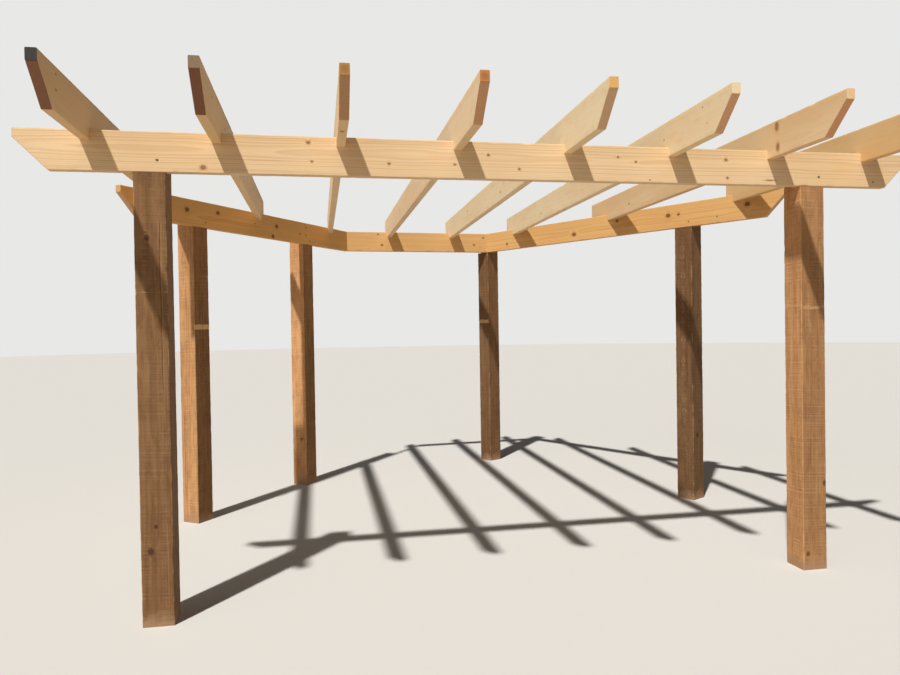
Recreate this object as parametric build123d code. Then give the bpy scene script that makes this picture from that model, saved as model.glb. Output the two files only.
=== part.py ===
"""Wooden pergola: six square posts, a front beam, three rear beams and eight notched rafters.

Millimetres, +Z up. The origin is on the ground under the middle of the frame.
"""
import math
import os

from build123d import *

# Posts
post_width = 150.0
post_height = 2200.0
tongue_height = 195.0
post_arris_radius = 3.0
front_left_post_x = -1800.0
front_right_post_x = 1775.0

# Beams
beam_depth = 195.0
beam_thickness = 45.0
front_beam_length = 4800.0
beam_arris_radius = 3.0
beam_nose = 45.0
beam_cut_run = 150.0

# Rear beams: the inner faces meet at two corners, given from the middle of the front beam's face
left_corner_x = -717.0
left_corner_y = 3593.0
right_corner_x = 744.0
right_corner_y = 3688.0
left_beam_angle = 55.3
left_beam_length = 2728.0
right_beam_angle = 60.0
right_beam_length = 3125.0

# Posts under the rear beams: from the corner to the post's nearer side, along the beam
left_inner_post_gap = 592.0
left_outer_post_gap = 1945.0
right_corner_post_overlap = 137.0
right_outer_post_gap = 2228.0

# Rafters
rafter_count = 8
rafter_spacing = 600.0
first_rafter_x = -2085.0
rafter_depth = 195.0
rafter_thickness = 45.0
rafter_arris_radius = 3.0
rafter_nose = 50.0
rafter_cut_run = 153.0
rafter_front_overhang = 628.0
rafter_rear_overhang = 180.0
seventh_rear_overhang = 320.0
eighth_rear_overhang = 45.0
notch_depth = 50.0
notch_clearance = 0.4

# The rafters on the right splay: they turn clockwise about their seats on the front beam
square_rafter_count = 4
splay_angle = 0.75

beam_top = post_height + beam_depth
rafter_underside = beam_top - notch_depth


def unit(angle):
    """Plan direction at an angle in degrees from +X."""
    return math.cos(math.radians(angle)), math.sin(math.radians(angle))


def prism(points, bottom, height):
    """Upright solid on a plan outline."""
    outline = make_face(Polyline(*[(x, y, bottom) for x, y in points], close=True))
    return extrude(outline, amount=height, dir=(0, 0, 1))


def eased(timber, direction, radius):
    """The timber with its long edges rounded. The direction is the way that they run."""
    long_edges = [edge for edge in timber.edges() if abs(edge.tangent_at(0).dot(Vector(*direction))) > 0.9999]
    return fillet(long_edges, radius)


def rear_line():
    """Inner face line of the three rear beams, from the left tip to the right tip."""
    left_dir = unit(left_beam_angle)
    right_dir = unit(-right_beam_angle)
    left_tip = (left_corner_x - left_dir[0] * left_beam_length, left_corner_y - left_dir[1] * left_beam_length)
    right_tip = (
        right_corner_x + right_dir[0] * right_beam_length,
        right_corner_y + right_dir[1] * right_beam_length,
    )
    return [left_tip, (left_corner_x, left_corner_y), (right_corner_x, right_corner_y), right_tip]


def offset_line(points, distance):
    """The same line moved outwards by a distance, with mitred corners."""
    moved = []
    for i, (x, y) in enumerate(points):
        sides = []
        for a, b in ((i - 1, i), (i, i + 1)):
            if a < 0 or b >= len(points):
                continue
            dx, dy = points[b][0] - points[a][0], points[b][1] - points[a][1]
            size = math.hypot(dx, dy)
            sides.append((-dy / size, dx / size))
        nx = sum(s[0] for s in sides)
        ny = sum(s[1] for s in sides)
        size = math.hypot(nx, ny)
        nx, ny = nx / size, ny / size
        stretch = nx * sides[0][0] + ny * sides[0][1]
        moved.append((x + nx * distance / stretch, y + ny * distance / stretch))
    return moved


def rear_quad(index, inner_distance, outer_distance):
    """Plan outline of one rear beam between two distances from the inner face line."""
    inner = offset_line(rear_line(), inner_distance)
    outer = offset_line(rear_line(), outer_distance)
    return [inner[index], inner[index + 1], outer[index + 1], outer[index]]


def end_cut(tip, direction):
    """Wedge below the slant at a beam's free end. The direction points out of the beam."""
    reach = beam_thickness * 3
    corners = [
        (0, post_height + beam_depth - beam_nose),
        (-beam_cut_run, post_height),
        (-beam_cut_run, post_height - reach),
        (reach, post_height - reach),
        (reach, post_height + beam_depth - beam_nose),
    ]
    side = (-direction[1], direction[0])
    start = [(tip[0] + direction[0] * u - side[0] * reach, tip[1] + direction[1] * u - side[1] * reach, z)
             for u, z in corners]
    face = make_face(Polyline(*start, close=True))
    return extrude(face, amount=2 * reach, dir=(side[0], side[1], 0))


def front_beam():
    """Long plank on edge over the two front posts, both ends cut back below a short nose."""
    half = front_beam_length / 2
    low = half - beam_cut_run
    nose = beam_top - beam_nose
    outline = [(-half, beam_top), (half, beam_top), (half, nose), (low, post_height), (-low, post_height),
               (-half, nose)]
    face = make_face(Polyline(*[(x, 0, z) for x, z in outline], close=True))
    return eased(extrude(face, amount=beam_thickness, dir=(0, 1, 0)), (1, 0, 0), beam_arris_radius)


def rear_beam(index):
    """One of the three rear planks: 0 left, 1 middle, 2 right."""
    line = rear_line()
    run = (line[index + 1][0] - line[index][0], line[index + 1][1] - line[index][1])
    size = math.hypot(run[0], run[1])
    beam = prism(rear_quad(index, 0, beam_thickness), post_height, beam_depth)
    beam = eased(beam, (run[0] / size, run[1] / size, 0), beam_arris_radius)
    if index == 0:
        away = unit(left_beam_angle)
        beam -= end_cut(line[0], (-away[0], -away[1]))
    if index == 2:
        beam -= end_cut(line[3], unit(-right_beam_angle))
    return beam


def post_plan(corner, along, out, sides):
    """Plan outline on a post, from its near and far distances along the beam, then outwards from the face."""
    u0, u1, v0, v1 = sides
    plan = []
    for u, v in ((u0, v0), (u1, v0), (u1, v1), (u0, v1)):
        plan.append((corner[0] + along[0] * u + out[0] * v, corner[1] + along[1] * u + out[1] * v))
    return plan


def post(corner, along, out):
    """Square post rebated at the top: its beam sits on the shoulder, and the tongue rises behind the beam."""
    shaft = prism(post_plan(corner, along, out, (0, post_width, 0, post_width)), 0, post_height + tongue_height)
    shaft = eased(shaft, (0, 0, 1), post_arris_radius)
    rebate = beam_thickness + notch_clearance
    cut = post_plan(corner, along, out, (-rebate, post_width + rebate, -rebate, rebate))
    return shaft - prism(cut, post_height, tongue_height)


def front_post(centre_x):
    """Post with its front face flush with the front beam."""
    return post((centre_x - post_width / 2, 0), (1, 0), (0, 1))


def rear_post(corner, direction, start):
    """Post lined up with a rear beam, its inner face flush with the beam's inner face."""
    out = (-direction[1], direction[0])
    if out[1] < 0:
        out = (direction[1], -direction[0])
    near = (corner[0] + direction[0] * start, corner[1] + direction[1] * start)
    return post(near, direction, out)


def outer_distance(start_x, direction):
    """How far the outer faces of the rear beams are from the front beam's face, along a plan direction."""
    line = offset_line(rear_line(), beam_thickness)
    distances = []
    for a, b in zip(line, line[1:]):
        dx, dy = b[0] - a[0], b[1] - a[1]
        distances.append(((a[0] - start_x) * dy - a[1] * dx) / (direction[0] * dy - direction[1] * dx))
    return min(distances)


def rear_overhang(index):
    """How far one rafter passes the outer face of its rear beam."""
    if index == 6:
        return seventh_rear_overhang
    if index == 7:
        return eighth_rear_overhang
    return rafter_rear_overhang


def rafter(index):
    """One rafter, notched over the front beam and over the rear beams."""
    centre_x = first_rafter_x + index * rafter_spacing
    left_x = centre_x - rafter_thickness / 2
    turn = 0.0 if index < square_rafter_count else splay_angle
    tip_y = -rafter_front_overhang
    end_y = outer_distance(centre_x, unit(90 - turn)) + rear_overhang(index)
    top = rafter_underside + rafter_depth
    outline = [(tip_y, top), (end_y, top), (end_y, rafter_underside), (tip_y + rafter_cut_run, rafter_underside),
               (tip_y, top - rafter_nose)]
    face = make_face(Polyline(*[(-rafter_thickness / 2, y, z) for y, z in outline], close=True))
    plank = eased(extrude(face, amount=rafter_thickness, dir=(1, 0, 0)), (0, 1, 0), rafter_arris_radius)
    solid = Location((centre_x, 0, 0), (0, 0, -turn)) * plank
    below = rafter_underside - notch_depth
    front_seat = [(left_x - notch_depth, -notch_clearance), (left_x + rafter_thickness + notch_depth, -notch_clearance),
                  (left_x + rafter_thickness + notch_depth, beam_thickness + notch_clearance),
                  (left_x - notch_depth, beam_thickness + notch_clearance)]
    solid -= prism(front_seat, below, beam_top - below)
    for piece in range(3):
        seat = rear_quad(piece, -notch_clearance, beam_thickness + notch_clearance)
        solid -= prism(seat, below, beam_top - below)
    return solid


def all_parts():
    """Every timber under its node name."""
    left_corner = (left_corner_x, left_corner_y)
    right_corner = (right_corner_x, right_corner_y)
    left_out = tuple(-v for v in unit(left_beam_angle))
    right_out = unit(-right_beam_angle)
    parts = {
        "post_front_left": front_post(front_left_post_x),
        "post_front_right": front_post(front_right_post_x),
        "post_left_outer": rear_post(left_corner, left_out, left_outer_post_gap),
        "post_left_inner": rear_post(left_corner, left_out, left_inner_post_gap),
        "post_back_corner": rear_post(right_corner, right_out, -right_corner_post_overlap),
        "post_right_outer": rear_post(right_corner, right_out, right_outer_post_gap),
        "front_beam": front_beam(),
        "rear_beam_left": rear_beam(0),
        "rear_beam_middle": rear_beam(1),
        "rear_beam_right": rear_beam(2),
    }
    for index in range(rafter_count):
        parts["rafter_%d" % (index + 1)] = rafter(index)
    return parts


os.makedirs("parts", exist_ok=True)
timbers = all_parts()
boxes = [solid.bounding_box() for solid in timbers.values()]
middle_x = (min(box.min.X for box in boxes) + max(box.max.X for box in boxes)) / 2
middle_y = (min(box.min.Y for box in boxes) + max(box.max.Y for box in boxes)) / 2
for name, solid in timbers.items():
    placed = Location((-middle_x, -middle_y, 0)) * solid
    export_step(placed, "parts/" + name + ".step")
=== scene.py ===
"""The dressed wooden pergola: stained sawn posts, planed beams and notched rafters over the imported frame.

Metres, +Z up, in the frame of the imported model. Each timber is one closed surface worked out with numpy. It
carries three attributes: board, the place in the timber itself (along, up, across), arris, how near a point is to
a rounded long edge, and sawn, which marks the faces of a saw cut.
"""

import logging
import math
from dataclasses import dataclass, replace
from enum import Enum
from functools import reduce
from typing import Sequence

import bpy
import numpy as np
from mathutils import Matrix, Vector


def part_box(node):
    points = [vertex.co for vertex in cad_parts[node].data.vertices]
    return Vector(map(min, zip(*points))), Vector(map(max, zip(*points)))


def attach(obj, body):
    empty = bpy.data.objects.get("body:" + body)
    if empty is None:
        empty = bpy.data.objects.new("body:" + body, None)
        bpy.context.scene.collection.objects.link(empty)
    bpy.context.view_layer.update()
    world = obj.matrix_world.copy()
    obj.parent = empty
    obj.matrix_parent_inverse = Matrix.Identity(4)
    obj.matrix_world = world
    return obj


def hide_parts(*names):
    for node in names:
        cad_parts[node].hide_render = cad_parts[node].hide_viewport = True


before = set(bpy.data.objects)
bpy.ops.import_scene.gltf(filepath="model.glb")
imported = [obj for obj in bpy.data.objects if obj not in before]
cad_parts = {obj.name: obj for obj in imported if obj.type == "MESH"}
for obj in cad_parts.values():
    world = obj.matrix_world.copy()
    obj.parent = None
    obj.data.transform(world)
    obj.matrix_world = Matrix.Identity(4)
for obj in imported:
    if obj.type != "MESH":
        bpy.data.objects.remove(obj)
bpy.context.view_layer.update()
FRONT_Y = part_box("front_beam")[0][1]
BODY = "root"
UP = (0.0, 0.0, 1.0)
# Sizes that several timbers share, in metres
POST_WIDTH = 0.150
POST_HEIGHT = 2.200
PLANK_DEPTH = 0.195
PLANK_THICKNESS = 0.045
KNOT_DEPTH = 0.075
# Above this share of facing along the timber a face counts as sawn; above this angle in degrees an edge is sharp
SAWN_FACING = 0.3
SHARP_ANGLE = 32.0
SPECULAR_LEVEL = 0.28
log = logging.getLogger("pergola")

Array = np.ndarray
Colour = tuple[float, float, float, float]
Point = tuple[float, float, float]


def shade(red: int, green: int, blue: int) -> Colour:
    """A colour written in the usual 0 to 255 steps, as linear light and an alpha of 1."""
    parts = [channel / 255 for channel in (red, green, blue)]
    return tuple(p / 12.92 if p <= 0.04045 else ((p + 0.055) / 1.055) ** 2.4 for p in parts) + (1.0,)


def heading(angle: float) -> Point:
    """Level direction at an angle in degrees from +X."""
    return (math.cos(math.radians(angle)), math.sin(math.radians(angle)), 0.0)


def moved(point: Sequence[float], direction: Sequence[float], distance: float) -> Point:
    """The point, taken a distance along a direction."""
    return tuple(p + d * distance for p, d in zip(point, direction))


def placed(name: str, data: bpy.types.ID) -> bpy.types.Object:
    """A new object of the scene, at the origin.

    Args:
        name: the object's name.
        data: its mesh, lamp or camera.

    Returns:
        The object.
    """
    made = bpy.data.objects.new(name, data)
    bpy.context.scene.collection.objects.link(made)
    return made


class Slot(Enum):
    """The record's material slots."""

    POST = "stained_post"
    FRONT_BEAM = "front_beam_timber"
    REAR_BEAM = "rear_beam_timber"
    RAFTER = "rafter_timber"


# Shapes


@dataclass(frozen=True)
class Station:
    """One place along a timber: how high its lower edge is there, and how much the cut leans across it."""

    at: float
    floor: float = 0.0
    lean: float = 0.0


@dataclass(frozen=True)
class Board:
    """Where a timber lies: its start corner, its three directions, and its three sizes."""

    start: Point
    along: Point
    up: Point
    across: Point
    length: float
    depth: float
    thickness: float

    def place(self, local: Array) -> Array:
        """Turns points of the timber (along, up, across) into points of the model."""
        return np.array(self.start) + local @ np.array([self.along, self.up, self.across])


@dataclass(frozen=True)
class Section:
    """The rounded rectangle that is carried along a timber."""

    side_steps: int
    edge_steps: int
    arris: float = 0.003
    arc_steps: int = 3
    margin: float = 0.004
    squeeze: float = 0.08
    half_worn: float = 0.8

    def flat(self, size: float, steps: int) -> Array:
        """Places on one flat side, from the arris on: both ends, a point a margin inside each, and even steps."""
        inner = np.linspace(self.margin, size - self.margin, steps)
        return self.arris + np.concatenate([[0.0], inner, [size]])

    def ring(self, depth: float, thickness: float) -> tuple[Array, ...]:
        """One turn round the section.

        The section is a smaller rectangle grown outwards by the arris radius: each point has a place on the small
        rectangle and an outward direction, which turns through a right angle on each arc.

        Args:
            depth: full depth of the timber.
            thickness: full thickness of the timber.

        Returns:
            Arrays over the ring: the place across and the height on the small rectangle, the outward direction
            across and up, the kind (0 lower edge, 1 side, 2 upper edge), and worn, which is 1 on the arcs and
            half_worn beside them.
        """
        r, right, top = self.arris, thickness - self.arris, depth - self.arris
        edge = self.flat(thickness - 2 * r, self.edge_steps)
        side = self.flat(depth - 2 * r, self.side_steps)
        quarter = math.pi / 2
        turn = np.linspace(0, quarter, self.arc_steps + 2)[1:-1]
        runs = (
            (edge, r, -quarter, 0, 0), (right, r, turn - quarter, 0, 1), (right, side, 0, 1, 0),
            (right, top, turn, 2, 1), (edge[::-1], top, quarter, 2, 0), (r, top, turn + quarter, 2, 1),
            (r, side[::-1], 2 * quarter, 1, 0), (r, r, turn + 2 * quarter, 0, 1),
        )
        whole = np.concatenate([np.stack(np.broadcast_arrays(*run)) for run in runs], axis=1)
        core, height, angle, kind, worn = whole
        ends = (np.roll(worn, 1) + np.roll(worn, -1)) > 0
        return core, height, np.cos(angle), np.sin(angle), kind, np.maximum(worn, ends * self.half_worn)


@dataclass(frozen=True)
class Wear:
    """How uneven a timber's surface is. Every move is inwards, so the timber keeps its outside sizes.

    Slow and quick are the counts and the paces of the two sets of waves, along, up and across, in radians per metre.
    """

    chips: int
    seed: int
    ripple: float = 0.0004
    arris_loss: float = 0.0006
    chip_depth: float = 0.0020
    chip_width: tuple[float, float] = (0.005, 0.022)
    slow: tuple[int, Point] = (10, (9.0, 26.0, 26.0))
    quick: tuple[int, Point] = (12, (70.0, 8.0, 8.0))

    def waves(self, rng: np.random.Generator, local: Array, count: int, pace: Point) -> Array:
        """Mean of a count of sine waves with mixed directions, each with its own random pace and phase."""
        waves = rng.normal(size=(count, 3)) * np.array(pace)
        return np.sin(local @ waves.T + rng.uniform(0, 2 * math.pi, count)).mean(axis=1)

    def inwards(self, local: Array, worn: Array, length: float) -> Array:
        """Depth of the surface below the true section.

        A mean of slow sine waves with mixed directions gives the ripple. On the arcs a second set wears the arris
        down, and each chip is a bell curve of its own length along one of the four arrises.

        Args:
            local: points of the timber.
            worn: 1 on the arcs.
            length: length of the timber.

        Returns:
            Inward depth at each point.
        """
        rng = np.random.default_rng(self.seed)
        slow, quick = (self.waves(rng, local, *waves) for waves in (self.slow, self.quick))
        depth = self.ripple * (0.5 + 0.9 * slow).clip(0, 1)
        depth = depth + worn * self.arris_loss * (0.35 + 1.6 * quick).clip(0, 1)
        place = rng.uniform(0.02, 0.98, self.chips) * length
        width = rng.uniform(*self.chip_width, self.chips)
        size = rng.uniform(0.3, 1.0, self.chips) ** 2 * self.chip_depth
        corner = rng.integers(0, 4, self.chips)
        middle = local[:, 1:].mean(axis=0)
        own = (local[:, 1] > middle[0]).astype(int) + 2 * (local[:, 2] > middle[1]).astype(int)
        bell = np.exp(-(((local[:, :1] - place) / width) ** 2)) * size
        return depth + worn * (bell * (own[:, None] == corner)).sum(axis=1)


def spread(stations: Sequence[Station], step: float) -> Array:
    """Fills in between a timber's stations at even steps.

    Args:
        stations: the places where the shape changes, in order.
        step: largest distance between two stations.

    Returns:
        Rows of at, floor and lean.
    """
    rows = np.array([(s.at, s.floor, s.lean) for s in stations])
    counts = np.maximum(1, np.ceil(np.diff(rows[:, 0]) / step).astype(int))
    share = np.concatenate([i + np.arange(n) / n for i, n in enumerate(counts)] + [[len(counts)]])
    return np.stack([np.interp(share, np.arange(len(rows)), rows[:, k]) for k in range(3)], axis=1)


def signed_volume(points: Array, quads: Array) -> float:
    """Volume inside the quads, negative if they face inwards: a third of area times distance, summed."""
    a, b, c, d = (points[quads[:, k]] - points.mean(axis=0) for k in range(4))
    return float((np.einsum("ij,ij->i", a, np.cross(b, c)) + np.einsum("ij,ij->i", a, np.cross(c, d))).sum() / 6)


def timber(name: str, board: Board, stations: Sequence[Station], section: Section, wear: Wear,
           step: float) -> bpy.types.Object:
    """One timber as a closed surface.

    The section's ring is carried along the stations. A point of a side keeps its height until the lower edge
    passes it, then it rides just above that edge. Each station leans with the distance across the timber.

    Args:
        name: name of the piece.
        board: where the timber lies.
        stations: its lower edge and its lean.
        section: its rounded section.
        wear: its unevenness.
        step: largest distance between two rings.

    Returns:
        The new object, at the origin, with its place in its mesh.
    """
    core, height, out_across, out_up, kind, worn = section.ring(board.depth, board.thickness)
    at, floor, lean = (column[:, None] for column in spread(stations, step).T)
    low = floor + section.arris
    side = np.maximum(height, low + section.squeeze * (height - section.arris))
    up = np.where(kind == 0, low, np.where(kind == 1, side, height))
    up = up + np.where(kind == 1, 0.0, out_up * section.arris)
    across = core + out_across * section.arris
    grid = np.broadcast_arrays(at + lean * across, up, across, worn, out_up, out_across)
    local = np.stack(grid[:3], axis=2).reshape(-1, 3)
    worn, out_up, out_across = (values.ravel() for values in grid[3:])
    depth = wear.inwards(local, worn, board.length)
    local[:, 1] -= depth * out_up
    local[:, 2] -= depth * out_across
    points = board.place(local)

    rings, around = up.shape
    i, j = np.meshgrid(np.arange(rings - 1) * around, np.arange(around), indexing="ij")
    after = (j + 1) % around
    quads = np.stack([i + j, i + after, i + around + after, i + around + j], axis=2).reshape(-1, 4)
    first = tuple(range(around - 1, -1, -1))
    last = tuple(range((rings - 1) * around, rings * around))
    faces = [tuple(quad) for quad in quads.tolist()] + [first, last]
    if signed_volume(points, quads) < 0:
        faces = [face[::-1] for face in faces]

    mesh = bpy.data.meshes.new(name)
    mesh.from_pydata(points.tolist(), [], faces)
    mesh.validate()
    mesh.attributes.new("board", "FLOAT_VECTOR", "POINT").data.foreach_set("vector", local.ravel())
    mesh.attributes.new("arris", "FLOAT", "POINT").data.foreach_set("value", worn)
    normals = np.empty(len(mesh.polygons) * 3)
    mesh.polygons.foreach_get("normal", normals)
    facing = np.abs(normals.reshape(-1, 3) @ np.array(board.along))
    mesh.attributes.new("sawn", "FLOAT", "FACE").data.foreach_set("value", (facing > SAWN_FACING).astype(float))
    mesh.shade_smooth()
    mesh.set_sharp_from_angle(angle=math.radians(SHARP_ANGLE))
    return placed(name, mesh)


def add_piece(piece: bpy.types.Object, node: str) -> None:
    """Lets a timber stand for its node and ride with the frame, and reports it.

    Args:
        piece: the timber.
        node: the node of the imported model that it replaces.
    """
    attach(piece, BODY)
    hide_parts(node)
    low, high = (np.array(corner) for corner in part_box(node))
    points = np.empty((len(piece.data.vertices), 3))
    piece.data.vertices.foreach_get("co", points.ravel())
    under, over = points.min(axis=0) - low, high - points.max(axis=0)
    log.info("%s: %d faces, out of its node by %.2f mm, short by %.2f mm", piece.name, len(piece.data.polygons),
             -1000 * min(under.min(), over.min()), 1000 * max(under.max(), over.max()))


# Finishes


class Signal:
    """A number, a colour or a place on its way through a material. Each step that it takes adds a node."""

    def __init__(self, pad: "Pad", socket: bpy.types.NodeSocket) -> None:
        """Keeps the socket and the pad of nodes that it is on."""
        self.pad, self.socket = pad, socket

    def math(self, operation: str, *others: "Value") -> "Signal":
        """One step on numbers, this one first."""
        return self.pad.signal("Math", dict(enumerate((self, *others))), operation=operation)

    def __add__(self, other: "Value") -> "Signal":
        """The sum."""
        return self.math("ADD", other)

    def __sub__(self, other: "Value") -> "Signal":
        """The difference."""
        return self.math("SUBTRACT", other)

    def __mul__(self, other: "Value") -> "Signal":
        """The product."""
        return self.math("MULTIPLY", other)

    def __truediv__(self, other: "Value") -> "Signal":
        """The quotient."""
        return self.math("DIVIDE", other)

    def __abs__(self) -> "Signal":
        """The number without its sign."""
        return self.math("ABSOLUTE")

    def scaled(self, factor: "Value", shift: "Value") -> "Signal":
        """The number times a factor, plus a shift."""
        return self.math("MULTIPLY_ADD", factor, shift)

    def fade(self, start: float, end: float, low: float = 0.0, high: float = 1.0) -> "Signal":
        """Eases from low to high as the number goes from start to end."""
        inputs = {0: self, 1: start, 2: end, 3: low, 4: high}
        return self.pad.signal("MapRange", inputs, interpolation_type="SMOOTHSTEP")

    def toward(self, colour: "Value", amount: "Value") -> "Signal":
        """The colour, blended towards another."""
        return self.pad.blend(amount, self, colour)

    def dimmed(self, factor: "Value") -> "Signal":
        """The colour times a number."""
        return self.pad.signal("VectorMath", {0: self, "Scale": factor}, operation="SCALE")

    def length(self) -> "Signal":
        """How far the place is from the origin."""
        return self.pad.signal("VectorMath", {0: self}, 1, operation="LENGTH")

    def parts(self) -> tuple["Signal", ...]:
        """The place's three numbers."""
        return tuple(Signal(self.pad, out) for out in self.pad.node("SeparateXYZ", {0: self}).outputs)

    def stretched(self, scale: Point, shift: Point = (0, 0, 0)) -> "Signal":
        """The place times a scale, plus a shift."""
        inputs = {"Vector": self, "Scale": scale, "Location": shift}
        return self.pad.signal("Mapping", inputs, vector_type="POINT")

    def far_from(self, middle: Point, sizes: Point) -> "Signal":
        """How far the place is from a middle, in units of the three sizes of an oval round it."""
        inputs = {"Vector": self, "Location": middle, "Scale": sizes}
        return self.pad.signal("Mapping", inputs, vector_type="TEXTURE").length()

    def noise(self, scale: Point, detail: float = 2.0, roughness: float = 0.5,
              shift: Point = (0, 0, 0)) -> "Signal":
        """Smooth noise from 0 to 1 over the place times a scale, plus a shift."""
        inputs = {"Vector": self.stretched(scale, shift), "Scale": 1.0, "Detail": detail, "Roughness": roughness}
        return self.pad.signal("TexNoise", inputs)

    def line_noise(self, detail: float = 1.0) -> "Signal":
        """Smooth noise from 0 to 1 along the number."""
        return self.pad.signal("TexNoise", {"W": self, "Scale": 1.0, "Detail": detail}, noise_dimensions="1D")

    def ramp(self, stops: Sequence[tuple[float, Colour]]) -> "Signal":
        """A colour looked up from the number.

        Args:
            stops: places from 0 to 1, each with its colour.

        Returns:
            The colour.
        """
        made = self.pad.node("ValToRGB", {0: self})
        elements = made.color_ramp.elements
        while len(elements) < len(stops):
            elements.new(0.5)
        for element, (place, colour) in zip(elements, stops):
            element.position = place
            element.color = colour
        return Signal(self.pad, made.outputs[0])


Value = Signal | float | Sequence[float]


def most(operation: str, signals: Sequence[Signal]) -> Signal:
    """The largest or the smallest of some numbers, by a MAXIMUM or a MINIMUM of each with those before it."""
    return reduce(lambda first, second: first.math(operation, second), signals)


class Pad:
    """The nodes of one material or world, added and linked one by one."""

    def __init__(self, owner: bpy.types.Material | bpy.types.World) -> None:
        """Empties the owner's nodes.

        Args:
            owner: the material or the world.
        """
        owner.use_nodes = True
        self.owner, self.tree = owner, owner.node_tree
        self.tree.nodes.clear()

    def node(self, kind: str, inputs: dict[int | str, Value] | None = None, **settings: object) -> bpy.types.Node:
        """Adds a node.

        Args:
            kind: the node's type, without the ShaderNode in front.
            inputs: what goes into its sockets, by name or number: a signal, or a value.
            settings: the node's own options.

        Returns:
            The node.
        """
        made = self.tree.nodes.new("ShaderNode" + kind)
        for key, value in settings.items():
            setattr(made, key, value)
        for key, value in (inputs or {}).items():
            if isinstance(value, Signal):
                self.tree.links.new(value.socket, made.inputs[key])
            else:
                made.inputs[key].default_value = value
        return made

    def signal(self, kind: str, inputs: dict[int | str, Value] | None = None, out: int | str = 0,
               **settings: object) -> Signal:
        """Adds a node and takes one of its outputs."""
        return Signal(self, self.node(kind, inputs, **settings).outputs[out])

    def attribute(self, name: str, out: str = "Fac") -> Signal:
        """One of the mesh's attributes."""
        return self.signal("Attribute", out=out, attribute_name=name)

    def blend(self, amount: Value, first: Value, second: Value) -> Signal:
        """Goes from the first colour to the second."""
        return self.signal("Mix", {0: amount, 6: first, 7: second}, 2, data_type="RGBA")

    def seen(self) -> Signal:
        """1 for rays that the camera, a gloss or a clear surface sends straight here, and 0 for scattered ones."""
        kinds = [self.signal("LightPath", out="Is %s Ray" % name) for name in ("Camera", "Glossy", "Transmission")]
        return most("MAXIMUM", kinds)

    def surface(self, colour: Value, roughness: Value, height: Signal, relief: float,
                metallic: float = 0.0) -> bpy.types.Material:
        """Ends the material.

        Args:
            colour: the surface colour.
            roughness: how rough it is.
            height: the relief from 0 to 1.
            relief: how deep a relief of 1 is, in metres.
            metallic: 1 for bare metal.

        Returns:
            The finished material.
        """
        bump = self.signal("Bump", {"Strength": 1.0, "Distance": relief, "Height": height})
        shader = self.signal("BsdfPrincipled", {"Base Color": colour, "Roughness": roughness, "Normal": bump,
                                                "Specular IOR Level": SPECULAR_LEVEL, "Metallic": metallic})
        self.node("OutputMaterial", {"Surface": shader})
        return self.owner


@dataclass(frozen=True)
class Knot:
    """A branch knot: its place on the timber and its radius. Reach is the way that it goes into the wood."""

    along: float
    up: float
    radius: float
    across: float = 0.0
    slim: float = 0.8
    reach: Point = (0, 0, 1)

    def sizes(self) -> Point:
        """Half sizes of the knot's long oval, with the long way through the timber."""
        flat = (self.radius, self.radius * self.slim, self.radius * self.slim)
        return tuple(KNOT_DEPTH if deep else size for deep, size in zip(self.reach, flat))


@dataclass(frozen=True)
class Grain:
    """How one timber was cut from its log.

    The rings are long cones about a pith line. Pith_up and pith_across say where that line crosses the timber's
    section, and peak where along the timber the cones have their widest arches. Tint goes from golden to pinkish,
    warmth is how much of the timber has that tint, figure how strongly its rings show, and curl how far quick
    waves along the timber push them.
    """

    pith_up: float
    pith_across: float
    peak: float
    taper: float
    tint: float
    seed: float
    knots: tuple[Knot, ...]
    warmth: float = 0.5
    figure: float = 1.0
    curl: float = 0.0


@dataclass(frozen=True)
class Growth:
    """What every finish needs from the wood: signals for place, pith, rings, fibre, streaks, blotches and knots."""

    board: Signal
    place: tuple[Signal, ...]
    pith: Signal
    ring: Signal
    band: Signal
    fibre: Signal
    streak: Signal
    blotch: Signal
    knot: Signal

    def between(self, low: float, high: float, ease: float = 0.2) -> Signal:
        """1 between two places along the timber, eased at both."""
        along = self.place[0]
        return along.fade(low, low + ease) * along.fade(high - ease, high, 1.0, 0.0)


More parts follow.
